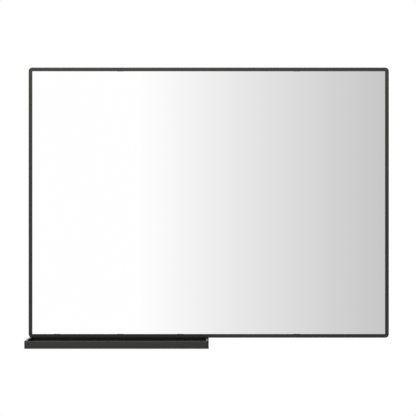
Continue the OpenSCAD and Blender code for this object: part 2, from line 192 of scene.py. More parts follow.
def mitred_bar(outline, exposed, half, corner, place):
    """A bar of the frame: its outline (inset, depth) carried along a side, to the mitre at either end.

    With R the frame's corner radius, t from 0 at the mitre to 1, and angle = 45 + 45 t degrees, a point less
    than R inwards runs round the corner: along = R - (R - inset) cos(angle), inwards = R - (R - inset)
    sin(angle). The others run straight from the mitre: along = inset + t * run. The outline is drawn in a
    little at the mitre itself, which leaves a hairline between two bars.
    """
    hairline, relief, run = 0.07 * MM, 0.02, 6 * MM
    t = np.concatenate([[0, relief], np.linspace(0.1, 1, 10)])[:, None]
    section = np.broadcast_to(outline, (len(t), *outline.shape)).copy()
    section[0] = drawn_in(outline, hairline)
    inset, depth = section[..., 0], section[..., 1]
    angle = np.radians(45 + 45 * t)
    rest = corner - inset
    along = np.where(rest > 0, corner - rest * np.cos(angle), inset + t * run)
    inwards = np.where(rest > 0, corner - rest * np.sin(angle), inset)
    first = np.stack([along - half, inwards, depth], -1)
    last = first[::-1] * [-1, 1, 1]
    shell = Shell()
    shell.add(place(np.concatenate([first, last])), exposed=exposed, caps=(0, -1))
    return shell


def screw_hole(centre, head, hole, place):
    """A countersunk hole in a flat square: rings of points that change from the square to the hole's circle.

    A ring's points are (1 - w) * square + w * radius * direction, at its own depth, with w, radius and
    depth read down the hole's wall. place puts (across, up, depth) into the piece.
    """
    run = np.linspace(-HOLE_SIDE, HOLE_SIDE, HOLE_CELLS + 1)[:-1]
    edge = np.full(HOLE_CELLS, HOLE_SIDE)
    square = np.concatenate(
        [np.stack(pair, 1) for pair in ((run, -edge), (edge, run), (-run, edge), (-edge, -run))]
    )
    toward = square / np.linalg.norm(square, axis=1, keepdims=True)
    lip = 0.06 * MM
    wall = np.array(
        [
            (0, 0, 0),
            (0.6, head + lip, 0),
            (1, head + lip, 0),
            (1, head, lip),
            (1, hole, head - hole + lip),
            (1, hole, HOLE_DEPTH),
        ]
    )
    w, radius, down = wall.T[:, :, None, None]
    ring = (1 - w) * square + w * radius * toward + centre
    grid = np.concatenate([ring, np.broadcast_to(down, (*ring.shape[:2], 1))], -1)
    return place(grid)


def turned(profile, centre, sides=48):
    """A profile (radius, y) turned about the axis through centre along Y: x and z are radius times the
    cosine and sine of the angle."""
    angle = np.linspace(0, 2 * np.pi, sides, endpoint=False)
    radius, y = profile[:, :1], profile[:, 1:]
    x = centre[0] + radius * np.cos(angle)
    z = centre[1] + radius * np.sin(angle)
    return np.stack([x, np.broadcast_to(y, x.shape), z], -1)


def rounding(level, low, high, low_radius, high_radius):
    """How far a wall has gone in at each level, where its foot and its top are quarter circles:
    radius - sqrt(radius^2 - (distance into the rounding)^2)."""
    into_foot = np.clip(low + low_radius - level, 0, low_radius)
    into_top = np.clip(level - (high - high_radius), 0, high_radius)
    foot = low_radius - np.sqrt(low_radius**2 - into_foot**2)
    top = high_radius - np.sqrt(high_radius**2 - into_top**2)
    return foot + top


# ---- Shader expressions ----


def find(sockets, key):
    """A socket by its identifier, or else by the name that it shows."""
    named = [socket for socket in sockets if socket.identifier == key]
    named += [socket for socket in sockets if socket.name == key and socket.enabled]
    return named[0]


class Value:
    """A shader socket that plain Python maths can be written on."""

    def __init__(self, tree, socket):
        self.tree, self.socket = tree, socket

    def math(self, operation, *operands, clamp=False):
        """A Math node on values and numbers."""
        node = self.tree.nodes.new("ShaderNodeMath")
        node.operation, node.use_clamp = operation, clamp
        for slot, operand in zip(node.inputs, operands):
            if isinstance(operand, Value):
                self.tree.links.new(operand.socket, slot)
            else:
                slot.default_value = operand
        return Value(self.tree, node.outputs[0])

    def __add__(self, other):
        return self.math("ADD", self, other)

    def __sub__(self, other):
        return self.math("SUBTRACT", self, other)

    def __mul__(self, other):
        return self.math("MULTIPLY", self, other)

    def __truediv__(self, other):
        return self.math("DIVIDE", self, other)

    def __pow__(self, other):
        return self.math("POWER", self, other)

    def __rsub__(self, other):
        return self.math("SUBTRACT", other, self)

    def __rtruediv__(self, other):
        return self.math("DIVIDE", other, self)

    __radd__ = __add__
    __rmul__ = __mul__

    def __gt__(self, other):
        return self.math("GREATER_THAN", self, other)

    def held(self):
        """Kept between 0 and 1."""
        return self.math("ADD", self, 0.0, clamp=True)

    def lowest(self, other):
        return self.math("MINIMUM", self, other)

    def highest(self, other):
        return self.math("MAXIMUM", self, other)


class Nodes:
    """The nodes of one material or world."""

    def __init__(self, owner):
        owner.use_nodes = True
        self.tree = owner.node_tree
        self.tree.nodes.clear()

    def node(self, kind, settings=None, **sockets):
        """Makes a node: first its settings, then the values and links of its sockets."""
        made = self.tree.nodes.new("ShaderNode" + kind)
        for name, value in (settings or {}).items():
            setattr(made, name, value)
        for key, value in sockets.items():
            socket = find(made.inputs, key)
            if isinstance(value, Value):
                self.tree.links.new(value.socket, socket)
            else:
                socket.default_value = value
        return made

    def out(self, made, key):
        """One output of a node."""
        return Value(self.tree, find(made.outputs, key))

    def coordinates(self, stretch=(1, 1, 1), turn=(0, 0, 0)):
        """Object coordinates in metres, stretched and turned."""
        where = self.out(self.node("TexCoord"), "Object")
        return self.out(self.node("Mapping", Vector=where, Scale=stretch, Rotation=turn), "Vector")

    def noise(self, where, scale, detail=3.0, roughness=0.55, warp=0.0):
        sockets = {"Scale": scale, "Detail": detail, "Roughness": roughness, "Distortion": warp}
        return self.out(self.node("TexNoise", Vector=where, **sockets), "Fac")

    def bands(self, axis, scale):
        """Even waves across an axis."""
        made = self.node("TexWave", {"bands_direction": axis}, Vector=self.coordinates(), Scale=scale)
        return self.out(made, "Fac")

    def cells(self, scale):
        """How far a point is from the middle of its cell, and a number that is each cell's own."""
        made = self.node("TexVoronoi", Vector=self.coordinates(), Scale=scale)
        own = self.node("SeparateColor", Color=self.out(made, "Color"))
        return self.out(made, "Distance"), self.out(own, "Red")

    def mix(self, factor, a, b):
        """A colour between a and b."""
        settings = {"data_type": "RGBA", "clamp_factor": True}
        made = self.node("Mix", settings, Factor_Float=factor, A_Color=rgba(a), B_Color=rgba(b))
        return self.out(made, "Result_Color")

    def attribute(self, name):
        return self.out(self.node("Attribute", {"attribute_name": name}), "Fac")

    def bump(self, height, distance, strength):
        made = self.node("Bump", Height=height, Distance=distance, Strength=strength)
        return self.out(made, "Normal")

    def surface(self, tone, rough, **more):
        """The surface shader and the output."""
        sockets = {"Base Color": tone, "Roughness": rough, **more}
        shader = self.out(self.node("BsdfPrincipled", **sockets), "BSDF")
        self.node("OutputMaterial", Surface=shader)


def rgba(colour):
    """A colour as four numbers, or a link as it is."""
    return colour if isinstance(colour, Value) else (*colour[:3], 1.0)


def shade(colour, by):
    """A colour made lighter or darker."""
    return tuple(channel * by for channel in colour[:3])


# ---- Finishes ----


def finish(fill):
    """Turns a function that fills a material's nodes into one that gives the material, made once."""

    def made():
        material = bpy.data.materials.get(fill.__name__)
        if material is None:
            material = bpy.data.materials.new(fill.__name__)
            fill(Nodes(material), bpy.context.scene.mirror_colours)
        return material

    return made


def powder_coat(nodes, colour, roughness):
    """Satin powder coat: a fine orange peel, slow drifts of tone, and outer edges rubbed paler and smoother
    in places. The paler tone on those edges is partly wear and partly a painted sheen."""
    where = nodes.coordinates()
    drift = nodes.noise(where, 7.0, 2.0)
    speckle = nodes.noise(where, 1500.0, 2.0, 0.6)
    peel = nodes.noise(where, 620.0, 1.0, 0.4)
    scuff_and_sheen = (nodes.noise(where, 120.0, 4.0, 0.7) * 2.4 - 0.75).held()
    edge = nodes.attribute("exposed") * scuff_and_sheen * 0.35
    tone = nodes.mix(drift * 0.7 + speckle * 0.5 - 0.1, shade(colour, 0.86), shade(colour, 1.14))
    # Outer edges lightened in patches: partly rubbed wear, partly a painted sheen.
    tone = nodes.mix(edge, tone, shade(colour, 1.8))
    rough = roughness + (drift - 0.5) * 0.06 + (speckle - 0.5) * 0.06 - edge * 0.05
    nodes.surface(tone, rough, Normal=nodes.bump(peel, 0.002 * MM, 0.5))


@finish
def frame_coat(nodes, colours):
    powder_coat(nodes, colours.frame, 0.42)


@finish
def tray_coat(nodes, colours):
    powder_coat(nodes, colours.tray, 0.36)


@finish
def end_coat(nodes, colours):
    powder_coat(nodes, colours.ends, 0.34)


@finish
def silvering(nodes, colours):
    """Silvered glass: bright, with the faintest cloud in its tone and the odd wiped film on its polish."""
    cloud = nodes.noise(nodes.coordinates(), 5.0, 2.0)
    wiped = nodes.noise(nodes.coordinates((1, 1, 4), (0, 0.5, 0)), 7.0, 4.0, 0.6)
    tone = nodes.mix(cloud, shade(colours.mirror, 0.997), colours.mirror)
    nodes.surface(tone, (wiped - 0.5).highest(0.0) * 0.02, Metallic=1.0)


@finish
def fibre_board(nodes, colours):
    """Pressed fibre board: short fibres both ways over darker pulp, with pale flecks and a faint mottle."""
    one_way = nodes.noise(nodes.coordinates((1, 1, 4), (0, 0.9, 0)), 420.0, 5.0, 0.7, 1.2)
    other_way = nodes.noise(nodes.coordinates((4, 1, 1), (0, 0.3, 0)), 380.0, 5.0, 0.7, 1.2)
    fibre = (one_way + other_way) * 0.5
    mottle = nodes.noise(nodes.coordinates(), 55.0, 5.0, 0.65)
    fleck = nodes.noise(nodes.coordinates(), 900.0, 2.0, 0.5) > 0.64
    dense = fibre * 2.0 + mottle * 0.9 - 0.95
    tone = nodes.mix(dense, shade(colours.board, 0.66), shade(colours.board, 1.35))
    tone = nodes.mix(fleck * 0.3, tone, shade(colours.board, 2.0))
    nodes.surface(tone, 0.62 + fibre * 0.25, Normal=nodes.bump(fibre, 0.1 * MM, 0.7))


@finish
def safety_sheet(nodes, colours):
    """Film behind the glass, with its woven thread faintly pressed through."""
    weave = nodes.bands("X", 160.0) * nodes.bands("Z", 160.0)
    tone = nodes.mix(weave, shade(colours.film, 0.85), shade(colours.film, 1.1))
    nodes.surface(tone, 0.45 + weave * 0.2, Normal=nodes.bump(weave, 0.03 * MM, 0.6))


@finish
def foam(nodes, colours):
    """White tape foam with small cells."""
    cell, _ = nodes.cells(1400.0)
    tone = nodes.mix(cell, shade(colours.foam, 0.85), colours.foam)
    nodes.surface(tone, 0.8 + cell * 0.15, Normal=nodes.bump(cell, 0.1 * MM, 0.6))


def moulded_rubber(nodes, colour, grain, roughness):
    """Moulded rubber: dull, with a fine grain and a dusty bloom."""
    fine = nodes.noise(nodes.coordinates(), grain, 3.0, 0.6)
    bloom = nodes.noise(nodes.coordinates(), 60.0, 3.0)
    tone = nodes.mix(bloom * fine * 1.6, colour, shade(colour, 2.1))
    rough = roughness + (bloom - 0.5) * 0.2
    nodes.surface(tone, rough, Normal=nodes.bump(fine, 0.05 * MM, 0.8))


@finish
def gasket_rubber(nodes, colours):
    moulded_rubber(nodes, colours.rubber, 900.0, 0.7)


@finish
def bumper_rubber(nodes, colours):
    moulded_rubber(nodes, colours.rubber, 700.0, 0.62)


@finish
def black_spring(nodes, colours):
    """Blackened spring steel: an oxide of uneven depth over fine lines from the rolls."""
    cloud = nodes.noise(nodes.coordinates(), 130.0, 3.0)
    lines = nodes.noise(nodes.coordinates((12, 1, 1)), 160.0, 3.0, 0.6)
    tone = nodes.mix(cloud, colours.spring, shade(colours.spring, 1.7))
    rough = 0.38 + lines * 0.22
    nodes.surface(tone, rough, Metallic=0.85 + cloud * 0.1, Normal=nodes.bump(lines, 0.01 * MM, 0.6))


def bright_metal(nodes, colour, grain, roughness, spangle):
    """Bright metal with lines drawn along its grain, patches of duller skin, and the crystals of its zinc,
    each a little lighter or darker than the next."""
    lines = nodes.noise(nodes.coordinates(grain), 300.0, 4.0, 0.65)
    patch = nodes.noise(nodes.coordinates(), 34.0, 4.0, 0.6)
    _, crystal = nodes.cells(280.0)
    tone = nodes.mix(patch * 1.4 - 0.2, shade(colour, 0.66), shade(colour, 1.12))
    tone = nodes.mix(lines * 0.5 + crystal * spangle, tone, shade(colour, 0.72))
    rough = roughness + (patch - 0.5) * 0.30 + (lines - 0.5) * 0.20
    nodes.surface(tone, rough, Metallic=1.0, Normal=nodes.bump(lines, 0.04 * MM, 0.8))


@finish
def zinc_plate(nodes, colours):
    bright_metal(nodes, colours.zinc, (1, 1, 9), 0.36, 0.5)


@finish
def zinc_screw(nodes, colours):
    bright_metal(nodes, shade(colours.zinc, 0.92), (3, 3, 3), 0.26, 0.1)


@finish
def mill_aluminium(nodes, colours):
    bright_metal(nodes, colours.aluminium, (9, 1, 1), 0.38, 0.0)


@finish
def pale_floor(nodes, colours):
    """The floor: a plain pale matt that fades to nothing towards its rim and can be seen only from above."""
    where = nodes.coordinates((1, 1, 0))
    far = nodes.out(nodes.node("VectorMath", {"operation": "LENGTH"}, Vector=where), "Value")
    under = nodes.out(nodes.node("NewGeometry"), "Backfacing")
    grain = nodes.noise(where, 45.0, 4.0, 0.6)
    tone = nodes.mix(grain, shade(colours.floor, 0.98), colours.floor)
    gone = ((far - FLOOR_CLEAR) / (FLOOR_GONE - FLOOR_CLEAR)).held().highest(under)
    nodes.surface(tone, 0.85 + grain * 0.1, Alpha=1.0 - gone)


# ---- Settings ----


def number(name, default, description, unit="NONE"):
    return FloatProperty(name=name, default=default, description=description, unit=unit)


def length(name, default, description):
    return FloatProperty(name=name, default=default, description=description, min=0.0, unit="LENGTH")


def colour(name, default, description):
    return FloatVectorProperty(
        name=name, default=default, description=description, size=3, min=0.0, max=1.0, subtype="COLOR"
    )


class MirrorSizes(PropertyGroup):
    """Sizes that the visual pieces add to those of the CAD frame."""

    face: length("Face width", 8.0 * MM, "Width of the frame's face")
    lip: length("Lip", 1.5 * MM, "Thickness of the frame's lip and outer wall")
    web: length("Web", 1.2 * MM, "Thickness of the profile's web, channel walls and rear lips")
    web_depth: length("Web depth", 12.2 * MM, "Depth of the web behind the face")
    slot: length("Rear slot", 6.0 * MM, "Width of the slot along the frame's back")
    corner: length("Corner radius", 8.0 * MM, "Outer radius of the frame's corners")
    face_edge: length("Face edge", 0.7 * MM, "Radius of the outer edge of the frame's face")
    sight_edge: length("Sight edge", 0.3 * MM, "Radius of the frame's edge beside the glass")
    arris: length("Glass arris", 0.5 * MM, "Bevel round the edge of the glass")
    rim: length("Shelf rim", 2.0 * MM, "Radius of the top edge of the shelf's front wall")
    rim_back: length("Rim back", 3.0 * MM, "Radius of the inner top edge of the shelf's front wall")
    foot: length("Shelf foot", 1.5 * MM, "Radius of the bottom edge of the shelf's front wall")
    tray_front: length("Front wall", 6.0 * MM, "Thickness of the shelf's front wall")
    tray_back: length("Back wall", 8.0 * MM, "Thickness of the shelf's back wall")
    tray_floor: length("Tray floor", 2.5 * MM, "Thickness of the shelf's floor")
    pocket: length("Tray fillet", 1.5 * MM, "Radius inside the tray, along its floor")
    end_corner: length("End corner", 4.0 * MM, "Radius of the shelf's upright front corners")
    end_top: length("End top", 0.6 * MM, "Radius of the outer top edge of the shelf's ends")
    screw_head: length("Screw head", 2.85 * MM, "Radius of the holes for the shelf's screw heads")
    screw_hole: length("Screw hole", 1.6 * MM, "Radius of the holes for the shelf's screws")
    stem: length("Bumper stem", 2.7 * MM, "Radius of the bumpers' stems")


class MirrorColours(PropertyGroup):
    """Colours of the finishes."""

    frame: colour("Frame", (0.0106, 0.0109, 0.0104), "Powder coat of the frame")
    tray: colour("Tray", (0.0108, 0.0127, 0.0124), "Powder coat of the tray")
    ends: colour("Shelf ends", (0.0116, 0.0124, 0.0120), "Powder coat of the shelf's ends")
    mirror: colour("Mirror", (0.985, 0.988, 0.986), "Silvering of the glass")
    board: colour("Board", (0.270, 0.180, 0.110), "Fibre board of the back panel")
    film: colour("Film", (0.30, 0.32, 0.34), "Safety film on the back of the glass")
    foam: colour("Foam", (0.80, 0.79, 0.75), "Foam tape")
    rubber: colour("Rubber", (0.020, 0.020, 0.020), "Gaskets and bumpers")
    spring: colour("Spring steel", (0.011, 0.011, 0.013), "Clips and dark screws")
    zinc: colour("Zinc", (0.62, 0.63, 0.64), "Hanger plates and screws")
    aluminium: colour("Aluminium", (0.70, 0.70, 0.71), "Corner keys and nut plates")
    floor: colour("Floor", (0.80, 0.80, 0.80), "Floor under the mirror")


class MirrorStage(PropertyGroup):
    """Camera, light and floor."""

    distance: length("Camera distance", 3.125, "From the frame's face to the camera")
    camera_x: number("Camera X", -1.6 * MM, "Camera's place across", "LENGTH")
    camera_z: number("Camera Z", -281.9 * MM, "Camera's height", "LENGTH")
    lens: number("Lens", 121.8, "Focal length on a 36 mm sensor", "CAMERA")
    floor_drop: length("Floor", 1.1, "Height of the mirror's bottom edge over the floor")
    ambient: number("Ambient", 0.58, "Strength of the light from all round")
    tilt: number("Tilt", 0.1, "How much of the soft light comes from above")
    fall_right: number("Right", 0.30, "How far the wall dims to the right")
    fall_left: number("Left", 0.12, "How far the wall dims to the left")
    fall_above: number("Above", 0.35, "How far the wall dims upwards")
    fall_below: number("Below", 0.35, "How far the wall dims downwards")
    warm: colour("Key tint", (1.0, 0.90, 0.72), "Tint of the soft lamp in front")
    cool: colour("Low tint", (0.95, 1.0, 0.99), "Tint of the light from below")
    key: number("Key", 36.0, "Power of the soft lamp in front", "POWER")
    fill: number("Fill", 30.0, "Power of the soft lamp behind", "POWER")


# ---- Pieces ----


def coat(thing, material):
    """Gives an object one finish all over."""
    thing.data.materials.clear()
    thing.data.materials.append(material)


def settle(made, material, nodes):
    """Gives a new piece its finish and its body, and hides the CAD nodes it stands for."""
    coat(made, material)
    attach(made, BODY)
    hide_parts(*nodes)


def dress(material, *nodes):
    """Gives carried-over CAD nodes their finish."""
    for node in nodes:
        coat(frame["nodes"][node], material)


def starting(text):
    """The CAD nodes whose names start with some words."""
    return sorted(node for node in frame["nodes"] if node.startswith(text))


class MIRROR_OT_frame_bars(Operator):
    """Builds the four mitred bars of the frame"""

    bl_idname = "mirror.frame_bars"
    bl_label = "Frame bars"

    def execute(self, context):
        s = context.scene.mirror_sizes
        wide = TOP_HIGH[2] - TOP_LOW[2]
        deep = Y_BACK - Y_FRONT
        inner, web_back, lip_back = wide - s.web, s.web_depth + s.web, deep - s.web
        slot_middle = (s.lip + inner) / 2
        slot_low, slot_high = slot_middle - s.slot / 2, slot_middle + s.slot / 2
        small = 0.25 * MM
        section = [
            (0, 0, s.face_edge),
            (s.face, 0, s.sight_edge),
            (s.face, s.lip, small),
            (s.lip, s.lip, small),
            (s.lip, s.web_depth, small),
            (wide, s.web_depth, small),
            (wide, deep, small),
            (slot_high, deep, small),
            (slot_high, lip_back, small),
            (inner, lip_back, small),
            (inner, web_back, small),
            (s.lip, web_back, small),
            (s.lip, lip_back, small),
            (slot_low, lip_back, small),
            (slot_low, deep, small),
            (0, deep, 2 * small),
        ]
        outline, exposed = rounded_outline(section)
        half_x, half_z = (X_RIGHT - X_LEFT) / 2, (Z_TOP - Z_BOTTOM) / 2

        def put(x, z):
            """Turns (along, inwards, depth) into a side's place."""
            return lambda g: np.stack([x(g), Y_FRONT + g[..., 2], z(g)], -1)

        sides = {
            "top": (half_x, put(lambda g: g[..., 0], lambda g: Z_TOP - g[..., 1])),
            "bottom": (half_x, put(lambda g: g[..., 0], lambda g: Z_BOTTOM + g[..., 1])),
            "left": (half_z, put(lambda g: X_LEFT + g[..., 1], lambda g: Z_MIDDLE + g[..., 0])),
            "right": (half_z, put(lambda g: X_RIGHT - g[..., 1], lambda g: Z_MIDDLE + g[..., 0])),
        }
        for side, (half, place) in sides.items():
            bar = mitred_bar(outline, exposed, half, s.corner, place).build("bar_" + side)
            settle(bar, frame_coat(), ["frame_" + side])
        return {"FINISHED"}


class MIRROR_OT_glass(Operator):
    """Builds the mirror glass with a bevelled edge"""

    bl_idname = "mirror.glass"
    bl_label = "Mirror glass"

    def execute(self, context):
        """Rings of the glass's outline, drawn in by the arris at its front and back."""
        s = context.scene.mirror_sizes
        low, high = GLASS_LOW, GLASS_HIGH
        radius = s.corner - (low[0] - X_LEFT)
        places = ((low[0], low[2]), (high[0], low[2]), (high[0], high[2]), (low[0], high[2]))
        outline, _ = rounded_outline([(x, z, radius) for x, z in places], 10)
        levels = [(low[1], s.arris), (low[1] + s.arris, 0), (high[1] - s.arris, 0), (high[1], s.arris)]
        rings = []
        for y, inset in levels:
            flat = drawn_in(outline, inset)
            rings.append(np.stack([flat[:, 0], np.full(len(flat), y), flat[:, 1]], -1))
        shell = Shell()
        shell.add(np.stack(rings), caps=(0, -1))
        settle(shell.build("glass"), silvering(), ["mirror_glass"])
        return {"FINISHED"}


class MIRROR_OT_backing(Operator):
    """Finishes what lies behind the glass: film, foam tapes and board"""

    bl_idname = "mirror.backing"
    bl_label = "Backing"

    def execute(self, context):
        dress(safety_sheet(), "safety_film")
        dress(foam(), "panel_tapes")
        dress(fibre_board(), "back_panel")
        return {"FINISHED"}


class MIRROR_OT_glazing(Operator):
    """Finishes the gaskets and the spring clips that hold the glass"""

    bl_idname = "mirror.glazing"
    bl_label = "Gaskets and clips"

    def execute(self, context):
        dress(gasket_rubber(), *starting("gasket_"))
        dress(black_spring(), *starting("glass_clip_"))
        return {"FINISHED"}


class MIRROR_OT_corner_keys(Operator):
    """Finishes the corner keys and their set screws"""

    bl_idname = "mirror.corner_keys"
    bl_label = "Corner keys"

    def execute(self, context):
        dress(mill_aluminium(), *starting("corner_key_top_"), *starting("corner_key_bottom_"))
        dress(zinc_screw(), "corner_key_screws")
        return {"FINISHED"}


class MIRROR_OT_hangers(Operator):
    """Finishes the hanger plates, their nut plates and screws"""

    bl_idname = "mirror.hangers"
    bl_label = "Hangers"

    def execute(self, context):
        dress(zinc_plate(), *starting("hanger_plate_"))
        dress(mill_aluminium(), *starting("hanger_nut_"))
        dress(zinc_screw(), "hanger_screws")
        return {"FINISHED"}


class MIRROR_OT_bumpers(Operator):
    """Builds the push-in bumpers behind the frame and the shelf"""

    bl_idname = "mirror.bumpers"
    bl_label = "Bumpers"

    def execute(self, context):
        """A head with soft edges on a stem, turned about Y. The roundings on the axis itself are left out."""
        stem = context.scene.mirror_sizes.stem
        for node in [*starting("wall_bumper_"), *starting("shelf_bumper_")]:
            low, high = corners(node)
            head = (high[0] - low[0]) / 2
            centre = ((low[0] + high[0]) / 2, (low[2] + high[2]) / 2)
            section = [
                (0, high[1], 0.9 * MM),
                (head, high[1], 0.7 * MM),
                (head, Y_BACK, 0.3 * MM),
                (stem, Y_BACK, 0.2 * MM),
                (stem, low[1], 0.6 * MM),
                (0, low[1], 0.9 * MM),
            ]
            profile, _ = rounded_outline(section)
            per_corner = len(profile) // len(section)
            profile = profile[per_corner:-per_corner]
            profile = np.concatenate([[(0, high[1])], profile, [(0, low[1])]])
            shell = Shell()
            shell.add(turned(profile, centre))
            settle(shell.build("button_" + node), bumper_rubber(), [node])
        return {"FINISHED"}


def shelf_screws():
    """Where the screws under the shelf are: each one's x, and the y that they share."""
    low, high = corners("shelf_screws")
    nuts = [corners("shelf_nut_left"), corners("shelf_nut_right")]
    middles = [(nut[0][0] + nut[1][0]) / 2 for nut in nuts]
    head = (high[1] - low[1]) / 2
    reach = middles[0] - (low[0] + head)
    places = [middle + way * reach for middle in middles for way in (-1, 1)]
    return np.array(places), (low[1] + high[1]) / 2


class MIRROR_OT_tray(Operator):
    """Builds the tray between the shelf's ends"""

    bl_idname = "mirror.tray"
    bl_label = "Tray"

    def execute(self, context):
        """The tray's outline (y, z) carried along X, with squares left out for the screw holes below."""
        s = context.scene.mirror_sizes
        (x0, y0, z0), (x1, y1, z1) = TRAY_LOW, TRAY_HIGH
        front, back, floor = y0 + s.tray_front, y1 - s.tray_back, z0 + s.tray_floor
        soft = 0.4 * MM
        section = [
            (y0, z0, s.foot),
            (y0, z1, s.rim),
            (front, z1, s.rim_back),
            (front, floor, s.pocket),
            (back, floor, s.pocket),
            (back, z1, soft),
            (y1, z1, soft),
            (y1, z0, soft),
        ]
        outline, exposed = rounded_outline(section, 8)
        screws, screw_y = shelf_screws()
        across = np.linspace(screw_y + HOLE_SIDE, screw_y - HOLE_SIDE, HOLE_CELLS + 1)
        under = np.stack([across, np.full(len(across), z0)], 1)
        outline = np.concatenate([outline[:-1], under])
        exposed = np.concatenate([exposed[:-1], np.zeros(len(under))])
        squares = (screws[:, None] + np.linspace(-HOLE_SIDE, HOLE_SIDE, HOLE_CELLS + 1)).reshape(-1)
        x = np.concatenate([[x0, x0 + SEAM], squares, [x1 - SEAM, x1]])
        flat = np.broadcast_to(outline, (len(x), *outline.shape)).copy()
        flat[[0, -1]] = drawn_in(outline, SEAM)
        grid = np.concatenate([np.broadcast_to(x[:, None, None], (*flat.shape[:2], 1)), flat], -1)
        middle = (x[1:] + x[:-1]) / 2
        over_hole = np.abs(middle[:, None] - screws).min(1) < HOLE_SIDE
        # The last point's quads lead back to the outline's first point, so they aren't part of the strip.
        strip = np.arange(len(outline)) >= len(outline) - len(under)
        strip[-1] = False
        shell = Shell()
        shell.add(grid, exposed=exposed, keep=~(over_hole[:, None] & strip), caps=(0, -1))

        def place(hole):
            return hole + [0, 0, z0]

        for screw in screws:
            shell.add(screw_hole((screw, screw_y), s.screw_head, s.screw_hole, place), caps=(-1,))
        settle(shell.build("tray"), tray_coat(), ["shelf_tray"])
        return {"FINISHED"}


def corner_arcs(point, ways, radius, insets, angles):
    """An upright corner of a shelf end at every level: a quarter ellipse about the place its radius in from
    both walls, its half axes being the radius less each wall's inset. The angles run from the X wall's
    normal to the Y wall's."""
    along = []
    for place, way, inset, swing in zip(point, ways, insets, (np.cos(angles), np.sin(angles))):
        centre = place - way * np.maximum(radius, inset)
        along.append(centre[:, None] + way * np.maximum(radius - inset, 0)[:, None] * swing)
    return np.stack(along, -1)


def near_ends(start, stop):
    """The points a little in from both ends of a straight side, at every level."""
    gap = stop - start
    little = gap / np.linalg.norm(gap, axis=-1, keepdims=True) * BESIDE
    return np.stack([start + little, stop - little], 1)


class MIRROR_OT_shelf_ends(Operator):
    """Builds the two ends of the shelf"""

    bl_idname = "mirror.shelf_ends"
    bl_label = "Shelf ends"

    def execute(self, context):
        for side, node in ((-1, "shelf_end_left"), (1, "shelf_end_right")):
            self.build_end(context.scene.mirror_sizes, side, node)
        return {"FINISHED"}

    def build_end(self, s, side, node):
        """Level loops of the end, each drawn in at the front, outside, inside and back by that wall's
        rounding at its level."""
        (x_low, y0, z0), (x_high, y1, z1) = corners(node)
        outer, inner = (x_low, x_high) if side < 0 else (x_high, x_low)
        screw_low, screw_high = corners("shelf_end_screws")
        hole_y, hole_z = (screw_low[1] + screw_high[1]) / 2, (screw_low[2] + screw_high[2]) / 2
        soft = 0.5 * MM
        turn = np.linspace(0, np.pi / 2, 10)
        hole_run = np.linspace(-HOLE_SIDE, HOLE_SIDE, HOLE_CELLS + 1)
        level = np.concatenate(
            [
                z0 + s.foot * (1 - np.cos(turn)),
                [z0 + s.foot + BESIDE],
                hole_z + hole_run,
                [z1 - s.rim - BESIDE],
                z1 - s.rim * (1 - np.cos(turn[::-1])),
            ]
        )
        front = rounding(level, z0, z1, s.foot, s.rim)
        outside = rounding(level, z0, z1, soft, s.end_top)
        inside = rounding(level, z0, z1, SEAM, SEAM)
        rear = rounding(level, z0, z1, soft, soft)
        few, many = np.linspace(0, np.pi / 2, 4), np.linspace(0, np.pi / 2, 13)
        arcs = [
            corner_arcs((outer, y0), (side, -1), s.end_corner, (outside, front), many),
            corner_arcs((inner, y0), (-side, -1), SEAM, (inside, front), few[::-1]),
            corner_arcs((inner, y1), (-side, 1), SEAM, (inside, rear), few),
            corner_arcs((outer, y1), (side, 1), soft, (outside, rear), few[::-1]),
        ]
        parts = arcs[:1]
        for before, after in zip(arcs, arcs[1:]):
            parts += [near_ends(before[:, -1], after[:, 0]), after]
        ys = np.append(hole_y - hole_run, y0 + s.end_corner + BESIDE)
        wall_x = np.broadcast_to((outer - side * outside)[:, None], (len(level), len(ys)))
        parts.append(np.stack([wall_x, np.broadcast_to(ys, wall_x.shape)], -1))
        loop = np.concatenate(parts, 1)
        high = np.broadcast_to(level[:, None, None], (*loop.shape[:2], 1))
        grid = np.concatenate([loop, high], -1)
        # The outer edges that the powder coat paints paler: partly wear, partly a painted sheen.
        wear_and_sheen = (outside + front > 0)[:, None] * np.ones(loop.shape[1])
        wear_and_sheen[:, : len(many)] = 1
        mid_level = (level[1:] + level[:-1]) / 2
        column = np.arange(loop.shape[1])
        first = loop.shape[1] - len(ys)
        hole_column = (column >= first) & (column < first + HOLE_CELLS)
        hole_row = np.abs(mid_level - hole_z) < HOLE_SIDE
        shell = Shell()
        shell.add(grid, exposed=wear_and_sheen, keep=~(hole_row[:, None] & hole_column), caps=(0, -1))

        def place(hole):
            return np.stack([outer - side * hole[..., 2], hole[..., 0], hole[..., 1]], -1)

        shell.add(screw_hole((hole_y, hole_z), s.screw_head, s.screw_hole, place), caps=(-1,))
        settle(shell.build("end_" + node.split("_")[-1]), end_coat(), [node])


class MIRROR_OT_shelf_fixings(Operator):
    """Finishes the shelf's screws, pins and nut plates"""

    bl_idname = "mirror.shelf_fixings"
    bl_label = "Shelf fixings"

    def execute(self, context):
        dress(zinc_screw(), "shelf_screws", "shelf_end_pins")
        dress(black_spring(), "shelf_end_screws")
        dress(mill_aluminium(), *starting("shelf_nut_"))
        return {"FINISHED"}


